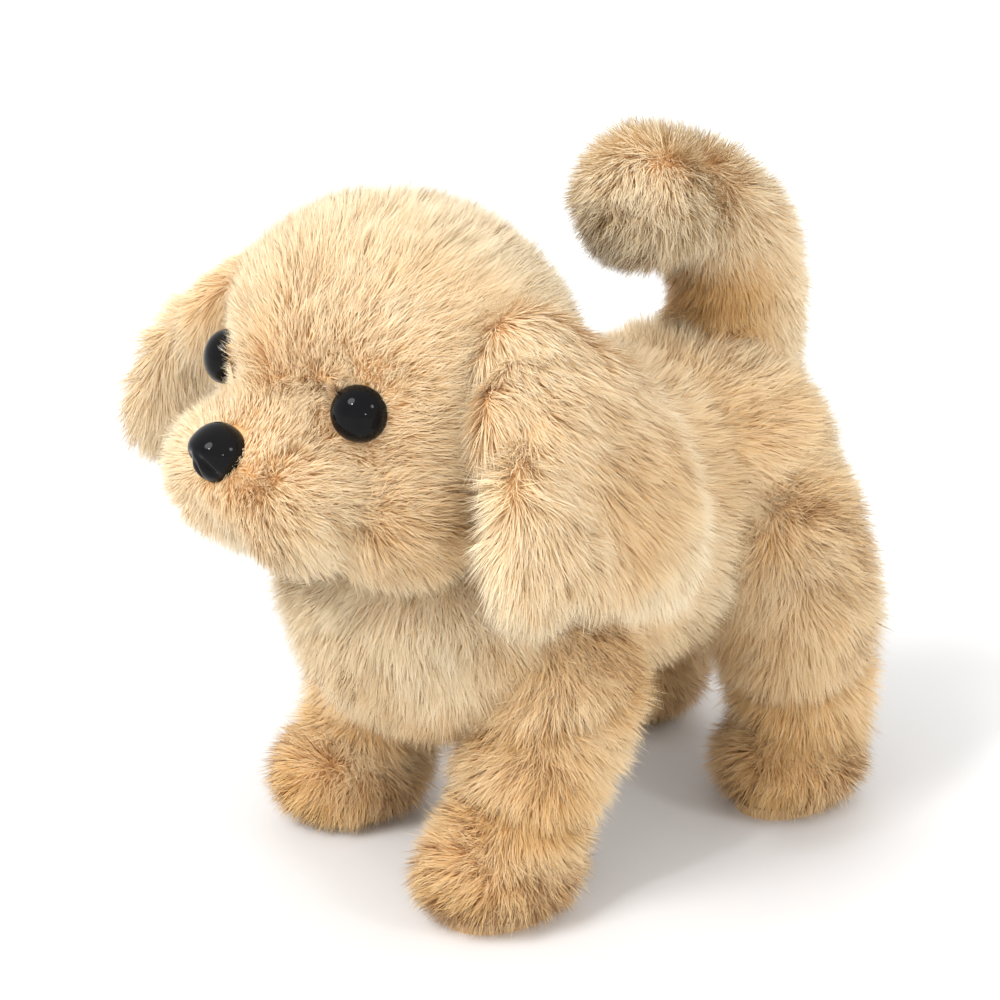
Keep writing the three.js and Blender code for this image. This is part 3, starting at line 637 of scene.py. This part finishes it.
def cell_sleeve():
    """The printed sleeve of a battery cell: bands of colour from its negative end to its positive end."""
    low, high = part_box("battery_left")
    material, shader, add, links = new_material("cell_sleeve")
    place = add("ShaderNodeTexCoord")
    parts = add("ShaderNodeSeparateXYZ", {"Vector": place.outputs["Object"]})
    along = add("ShaderNodeMapRange", {
        "Value": parts.outputs["Y"], "From Min": low.y, "From Max": high.y})
    bands = ramp(add, along.outputs["Result"], [
        (0.0, linear(210, 210, 212)),
        (0.05, linear(24, 26, 30)),
        (0.66, linear(186, 132, 52)),
        (0.95, linear(214, 214, 216)),
    ], "CONSTANT")
    links.new(bands, shader.inputs["Base Color"])
    shader.inputs["Roughness"].default_value = 0.3
    shader.inputs["Metallic"].default_value = 0.4
    return material


def gloss_black():
    """The polished black of the eyes and nose."""
    material, shader, add, links = new_material("gloss_black")
    place = add("ShaderNodeTexCoord")
    cloud = add("ShaderNodeTexNoise", {"Vector": place.outputs["Object"], "Scale": 90.0, "Detail": 2.0})
    links.new(ramp(add, cloud.outputs["Fac"], [
        (0.3, (0.004, 0.004, 0.005)),
        (0.7, (0.009, 0.008, 0.008)),
    ]), shader.inputs["Base Color"])
    shader.inputs["Roughness"].default_value = 0.05
    shader.inputs["Specular IOR Level"].default_value = 0.11
    return material


def weave(name, dark, light):
    """The short brushed cloth under each foot: crossed threads with a soft relief."""
    material, shader, add, links = new_material(name)
    place = add("ShaderNodeTexCoord")
    threads = []
    for direction in ("X", "Y"):
        threads.append(add("ShaderNodeTexWave", {
            "Vector": place.outputs["Object"], "Scale": 420.0, "Distortion": 1.2, "Detail": 1.0,
        }, bands_direction=direction))
    woven = add("ShaderNodeMath", {0: threads[0].outputs["Fac"], 1: threads[1].outputs["Fac"]})
    woven.operation = "MULTIPLY"
    links.new(ramp(add, woven.outputs["Value"], [(0.0, dark), (0.6, light)]), shader.inputs["Base Color"])
    relief = add("ShaderNodeBump", {"Height": woven.outputs["Value"], "Strength": 0.5, "Distance": 0.0003})
    links.new(relief.outputs["Normal"], shader.inputs["Normal"])
    shader.inputs["Roughness"].default_value = 0.88
    return material


def paint_frame(frame):
    """Gives every CAD node that stays in view its procedural material.

    The covers, the eyes and the nose are replaced later, so they only get the spare one."""
    dark = (0.012, 0.012, 0.013)
    looks = {
        "housing_plastic": speckled(
            "housing_plastic", linear(214, 212, 206), linear(225, 223, 218), 0.42, bump=0.15),
        "leg_plastic": speckled(
            "leg_plastic", linear(214, 208, 196), linear(232, 228, 218), 0.45, bump=0.12),
        "gear_plastic": speckled("gear_plastic", linear(236, 232, 220), linear(248, 246, 238), 0.38),
        "black_plastic": speckled("black_plastic", dark, (0.03, 0.03, 0.031), 0.5, bump=0.2),
        "steel": speckled("steel", (0.52, 0.52, 0.53), (0.68, 0.68, 0.7), 0.3, scale=500.0, metal=1.0),
        "brass": speckled("brass", (0.62, 0.44, 0.16), (0.78, 0.58, 0.26), 0.28, scale=400.0, metal=1.0),
        "cell_sleeve": cell_sleeve(),
        "board": speckled("board", linear(20, 74, 44), linear(34, 102, 62), 0.4, scale=900.0, coat=0.4),
        "red_wire": speckled("red_wire", linear(150, 22, 20), linear(180, 34, 28), 0.45),
        "black_wire": speckled("black_wire", dark, (0.025, 0.025, 0.026), 0.45),
        "sole_fabric": weave("sole_fabric", linear(196, 158, 112), linear(228, 196, 150)),
    }
    spare = speckled("spare_plastic", linear(200, 198, 190), linear(220, 218, 210), 0.45)
    for obj in frame["nodes"].values():
        for holder in obj.material_slots:
            name = holder.material.name.split(".")[0] if holder.material else ""
            holder.material = looks.get(name, spare)


# ---------------------------------------------------------------- eyes and nose

def eye_axis(centre):
    """The way an eye looks: straight out of the skull where it sits."""
    away = (np.array(centre) - np.array(SKULL["centre"])) / np.array(SKULL["radii"]) ** 2
    return away / np.linalg.norm(away)


def eye(side, material):
    """A glossy bead eye: a ball flattened the way it looks, a little wider round its rim."""
    node = "eye_left" if side > 0 else "eye_right"
    centre = np.array(EYE) * np.array((side, 1, 1))
    points, faces = sphere_grid(48, 30)
    shaped = points * np.array((EYE_RADIUS, EYE_RADIUS, EYE_HEIGHT))
    rim = 1 - np.abs(points[:, 2])
    shaped[:, :2] *= (1 + 0.03 * rim ** 6)[:, None]
    axis = eye_axis(centre)
    turn = Vector(axis).to_track_quat("Z", "Y").to_matrix()
    placed = shaped @ np.array(turn).T + centre - axis * EYE_SUNK
    made = new_object(f"eye_bead_{'left' if side > 0 else 'right'}", mesh_of(node, placed, faces))
    made.data.materials.append(material)
    smooth_shaded(made)
    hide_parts(node)
    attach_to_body(made, "head")


def nose(material):
    """A moulded nose: a rounded triangle, wide on top, with two nostrils and the groove below them."""
    low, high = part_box("nose")
    centre = np.array((0, low.y / MM + NOSE_DEPTH, (low.z + high.z) / 2 / MM))
    points, faces = sphere_grid(72, 48)
    shaped = points[:, (0, 2, 1)] * np.array(NOSE_RADII)
    height = shaped[:, 2] / NOSE_RADII[2]
    front = np.clip(shaped[:, 1] / NOSE_RADII[1], 0, 1)
    # wider above its middle, with a raised top edge and a fuller face
    shaped[:, 0] *= 1.02 + 0.2 * height - 0.12 * height ** 2
    shaped[:, 2] += 0.8 * (1 - (shaped[:, 0] / 7) ** 2) * np.clip(height, 0, 1)
    shaped[:, 1] -= 0.9 * np.exp(-((height - 0.45) / 0.35) ** 2) * front
    (upright, tilted), (wide, tall) = NOSTRIL["lean"], NOSTRIL["radii"]
    for side in (-1, 1):
        out = shaped[:, 0] - side * NOSTRIL["x"]
        up = shaped[:, 2] - NOSTRIL["z"]
        across = out * upright + up * side * tilted
        along = up * upright - out * side * tilted
        shaped[:, 1] += NOSTRIL["depth"] * np.exp(-(across / wide) ** 2 - (along / tall) ** 2) * front
    groove = np.exp(-(shaped[:, 0] / NOSE_GROOVE["width"]) ** 2) * np.clip(0.2 - height * 1.6, 0, 1)
    shaped[:, 1] += NOSE_GROOVE["depth"] * groove * front
    placed = shaped + centre
    faces = [tuple(reversed(face)) for face in faces]
    made = new_object("nose_moulded", mesh_of("nose_moulded", placed, faces))
    made.data.materials.append(material)
    smooth_shaded(made)
    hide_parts("nose")
    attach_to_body(made, "head")


# ---------------------------------------------------------------- the puppy's parts

def finish_skin(skin, backing, node, attach):
    """What every skin shares: backing cloth, the CAD solid it stands for and its body."""
    skin.data.materials.clear()
    skin.data.materials.append(backing)
    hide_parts(node)
    attach(skin)


def riding(body):
    """Attaches a piece to one body."""
    return lambda obj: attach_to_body(obj, body)


def bending():
    """Bakes the piece's placement into its mesh; it rides on no body."""
    return lambda obj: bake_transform(obj)


def in_box(points, low, high):
    return np.all((points > np.array(low)) & (points < np.array(high)), axis=1)


def torso(backing, pile):
    """The torso's cover, with room inside for the mechanism and an opening under the belly."""
    forms = torso_forms()
    skin = stuffed_skin("skin_torso", forms, smooth=10)
    heads = head_forms()

    def keep(points):
        covered = depth_inside(heads, points) > COVERED_BY_HEAD
        open_belly = in_box(points, *BELLY) & (points[:, 2] < BELLY_EDGE)
        return ~covered & ~open_belly

    def comb(points):
        flow = np.tile((0.0, 0.65, -0.55), (len(points), 1))
        chest = np.clip((-10 - points[:, 1]) / 30, 0, 1)[:, None]
        return flow * (1 - chest) + np.array((0.0, 0.1, -0.75)) * chest

    def length(points):
        return TORSO_PILE - np.clip(3 * depth_inside(heads, points), 0, 5.5)

    def tone(points):
        # painted shade: the fur's tone drops towards the belly, where the body shades itself
        under = np.clip((60 - points[:, 2]) / 25, 0, 1)
        # painted light: the chest is made lighter to lift the shade that falls under the head
        chest = np.clip((-20 - points[:, 1]) / 15, 0, 1)
        return 0.6 - 0.35 * under + 0.2 * chest

    attach = riding("chassis")
    grow_fur(skin, "torso", comb, length, keep, tone, pile, attach)
    # in this order: the solver fails where the room's faces lie in one plane with an opening's
    for opening in (BELLY, HIP_ROOM):
        carve(skin, box_tool(*opening))
    room = rounded_form("mechanism_room", shrunk(forms, TORSO_WALL), smooth=2)
    carve(room, box_tool(*CAVITY), "INTERSECT")
    carve(skin, room)
    finish_skin(skin, backing, "torso_plush", attach)


def head(backing, pile):
    """The head's cover, pressed in beside the eyes and at the cheeks, with short fur round eyes and nose."""
    forms = head_forms()
    skin = stuffed_skin("skin_head", forms, smooth=10)
    flips = [np.array((side, 1, 1)) for side in (1, -1)]
    for flip in flips:
        press(skin, np.array(EYE_HOLLOW["at"]) * flip, EYE_HOLLOW["radius"], EYE_HOLLOW["depth"])
        press(skin, np.array(CHEEK_FOLD["at"]) * flip, CHEEK_FOLD["radius"], CHEEK_FOLD["depth"])
    eyes = [np.array(EYE) * flip for flip in flips]

    def eye_gap(points):
        return np.minimum.reduce([np.linalg.norm(points - at, axis=1) - EYE_RADIUS for at in eyes])

    def nose_gap(points):
        return np.linalg.norm(points - np.array(NOSE_MIDDLE), axis=1) - NOSE_RADIUS

    def keep(points):
        covered = depth_inside(torso_forms(), points) > COVERED_BY_TORSO
        return ~covered & (eye_gap(points) > -EYE_TUCK) & (nose_gap(points) > -NOSE_TUCK)

    def comb(points):
        away = unit(points - np.array(NOSE_TIP))
        sides = np.clip((100 - points[:, 2]) / 30, 0, 1)[:, None]
        return away + np.array((0.0, 0.0, -0.5)) * sides

    def length(points):
        grown = np.interp(nose_gap(points), (0, 9, 14, 38), (2.0, 4.6, 6.0, 7.6))
        return grown * np.interp(eye_gap(points), (0, 10), (0.36, 1.0))

    def tone(points):
        # painted shadow: darker fur on the cheeks below each ear, where the ear shades the face
        away = points[:, 1:] - np.array(CHEEK_FOLD["at"][1:])
        cheek_shadow = np.exp(-(away ** 2).sum(axis=1) / CHEEK_SHADOW_FADE)
        return 0.75 - 0.55 * cheek_shadow

    attach = riding("head")
    grow_fur(skin, "head", comb, length, keep, tone, pile, attach, lean=0.8)
    finish_skin(skin, backing, "head_plush", attach)


def ear(side, backing, pile):
    """A flat floppy ear that hangs from the head."""
    name = "ear_left" if side > 0 else "ear_right"
    skin = stuffed_skin(f"skin_{name}", ear_forms(side), smooth=4)
    heads = head_forms()

    def keep(points):
        return depth_inside(heads, points) < COVERED

    def comb(points):
        fan = np.clip((points[:, 1] + 24) / 26, -1, 1)
        low = np.clip((118 - points[:, 2]) / 40, 0, 1)
        out = side * np.clip((points[:, 2] - 108) / 12, 0, 1)
        return np.stack((out, 0.55 * fan * low + 0.1, -np.ones(len(points))), 1)

    def length(points):
        return np.interp(points[:, 2], (68, 80, 110, 124), (10.0, 9.5, 8.0, 5.5))

    def tone(points):
        off_centre = ((points[:, 1] + 26) / 20) ** 2 + ((points[:, 2] - 102) / 18) ** 2
        return 0.3 + 0.5 * np.clip(off_centre, 0, 1)

    attach = bending()
    grow_fur(skin, name, comb, length, keep, tone, pile, attach, lean=1.1)
    finish_skin(skin, backing, name, attach)


def leg(name, backing, pile):
    """A leg's cover, creased and open round its frame."""
    spec = LEGS[name]
    side = spec["side"]
    skin = stuffed_skin(f"skin_leg_{name}", leg_forms(spec), smooth=5)
    body = torso_forms()

    def folds(points):
        """How deep in a crease of the leg each point lies, from 0 to 1."""
        found = np.zeros(len(points))
        for height, slope in FRONT_FOLDS if spec["front"] else REAR_FOLDS:
            above = points[:, 2] - height - slope * (points[:, 1] - spec["foot_y"])
            found = np.maximum(found, np.exp(-(above / FOLD_WIDTH) ** 2))
        return found

    def keep(points):
        return (depth_inside(body, points) < COVERED) & (points[:, 2] > SOLE_TOP + SOLE_EDGE)

    def comb(points):
        toes = np.clip((24 - points[:, 2]) / 14, 0, 1)
        return np.stack((np.zeros(len(points)), 0.1 - 0.6 * toes, -0.8 + 0.35 * toes), 1)

    def length(points):
        return np.interp(points[:, 2], (3, 8, 26, 40), (5.0, 7.0, 8.0, 8.6))

    def tone(points):
        # painted shade: the tone drops towards the paw and in each crease of the leg
        return np.interp(points[:, 2], (5, 14, 50), (0.15, 0.3, 0.45)) - 0.3 * folds(points)

    push_in(skin, FOLD_DEPTH * folds(vertex_places(skin)))
    attach = bending()
    grow_fur(skin, f"leg_{name}", comb, length, keep, tone, pile, attach)
    low_y, high_y = spec["foot_y"] - LEG_TRIM["y"], spec["foot_y"] + LEG_TRIM["y"]
    reach, top = LEG_TRIM["x"], LEG_TRIM["high"]
    carve(skin, box_tool((-reach, low_y, LEG_TRIM["low"]), (reach, high_y, SOLE_TOP)))
    for room_x, room_z in ((LEG_INNER_X, LEG_INNER_Z), (LEG_HOLLOW_X, LEG_HOLLOW_Z)):
        inner, outer = sorted((0, side * room_x))
        carve(skin, box_tool((inner, low_y, room_z), (outer, high_y, top)))
    finish_skin(skin, backing, f"leg_plush_{name}", attach)


def tail(backing, pile):
    """The curled tail with its ball."""
    skin = stuffed_skin("skin_tail", tail_forms(), smooth=5)
    body = torso_forms()

    def keep(points):
        return depth_inside(body, points) < COVERED

    def comb(points):
        ball = np.clip((50 - points[:, 1]) / 10, 0, 1)[:, None]
        return np.array((0.0, 0.15, -0.9)) * (1 - ball) + np.array((0.2, -0.7, -0.55)) * ball

    def length(points):
        return np.full(len(points), TAIL_PILE)

    def tone(points):
        stem = np.clip((points[:, 1] - 38) / 6, 0, 1)
        # painted shade: the lower stem is much darker on its side towards the head, in the hollow between
        # tail and back
        inner = stem * np.clip((60 - points[:, 1]) / 9, 0, 1) * np.clip((129 - points[:, 2]) / 10, 0, 1)
        return 1.15 - 0.27 * stem - 0.85 * inner

    attach = bending()
    grow_fur(skin, "tail", comb, length, keep, tone, pile, attach, lean=0.8)
    finish_skin(skin, backing, "tail_plush", attach)


# ---------------------------------------------------------------- studio

def camera():
    """Looks down at the puppy's face and left side."""
    azimuth, elevation = math.radians(CAMERA["azimuth"]), math.radians(CAMERA["elevation"])
    look = Vector((
        -math.sin(azimuth) * math.cos(elevation),
        math.cos(azimuth) * math.cos(elevation),
        -math.sin(elevation)))
    data = bpy.data.cameras.new("camera")
    data.lens = CAMERA["lens"]
    data.sensor_width = 36
    made = new_object("camera", data)
    made.location = (Vector(CAMERA["target"]) - look * CAMERA["distance"]) * MM
    made.rotation_euler = look.to_track_quat("-Z", "Y").to_euler()
    bpy.context.scene.camera = made


def sun(name, towards, strength, angle):
    """A soft round light far away in that direction."""
    data = bpy.data.lights.new(name, "SUN")
    data.energy = strength
    data.angle = math.radians(angle)
    made = new_object(name, data)
    made.rotation_euler = Vector(towards).to_track_quat("Z", "Y").to_euler()


def studio():
    """A pale floor under soft light from high on the puppy's face side."""
    scene = bpy.context.scene
    scene.view_settings.view_transform = "Standard"
    world = bpy.data.worlds.new("studio")
    world.use_nodes = True
    background = world.node_tree.nodes["Background"]
    background.inputs["Color"].default_value = (1, 1, 1, 1)
    background.inputs["Strength"].default_value = SKY_STRENGTH
    scene.world = world
    for name, (towards, strength, angle) in SUNS.items():
        sun(name, towards, strength, angle)
    corners = 64
    turns = [2 * math.pi * i / corners for i in range(corners)]
    outline = [(FLOOR_RADIUS * math.cos(turn), FLOOR_RADIUS * math.sin(turn), 0) for turn in turns]
    floor = new_object("floor", mesh_of("floor", outline, [tuple(range(corners))]))
    material, shader, _, _ = new_material("floor_pale")
    shader.inputs["Base Color"].default_value = (0.84, 0.835, 0.83, 1)
    shader.inputs["Roughness"].default_value = 0.55
    floor.data.materials.append(material)


# ---------------------------------------------------------------- build


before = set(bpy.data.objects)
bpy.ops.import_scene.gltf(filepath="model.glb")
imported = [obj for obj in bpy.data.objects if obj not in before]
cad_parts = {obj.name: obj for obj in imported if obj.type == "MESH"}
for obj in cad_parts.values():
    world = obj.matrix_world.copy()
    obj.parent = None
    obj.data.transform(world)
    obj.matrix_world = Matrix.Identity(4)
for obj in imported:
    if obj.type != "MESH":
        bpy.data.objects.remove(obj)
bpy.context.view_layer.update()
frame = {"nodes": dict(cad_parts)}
noise.seed_set(SEED)         # without this, noise_vector depends on the time of day
camera()
studio()
paint_frame(frame)
backing_cloth = backing_material()
pile_fur = fur_material()
torso(backing_cloth, pile_fur)
head(backing_cloth, pile_fur)
for ear_side in (1, -1):
    ear(ear_side, backing_cloth, pile_fur)
for leg_name in LEGS:
    leg(leg_name, backing_cloth, pile_fur)
tail(backing_cloth, pile_fur)
black_bead = gloss_black()
for eye_side in (1, -1):
    eye(eye_side, black_bead)
nose(black_bead)
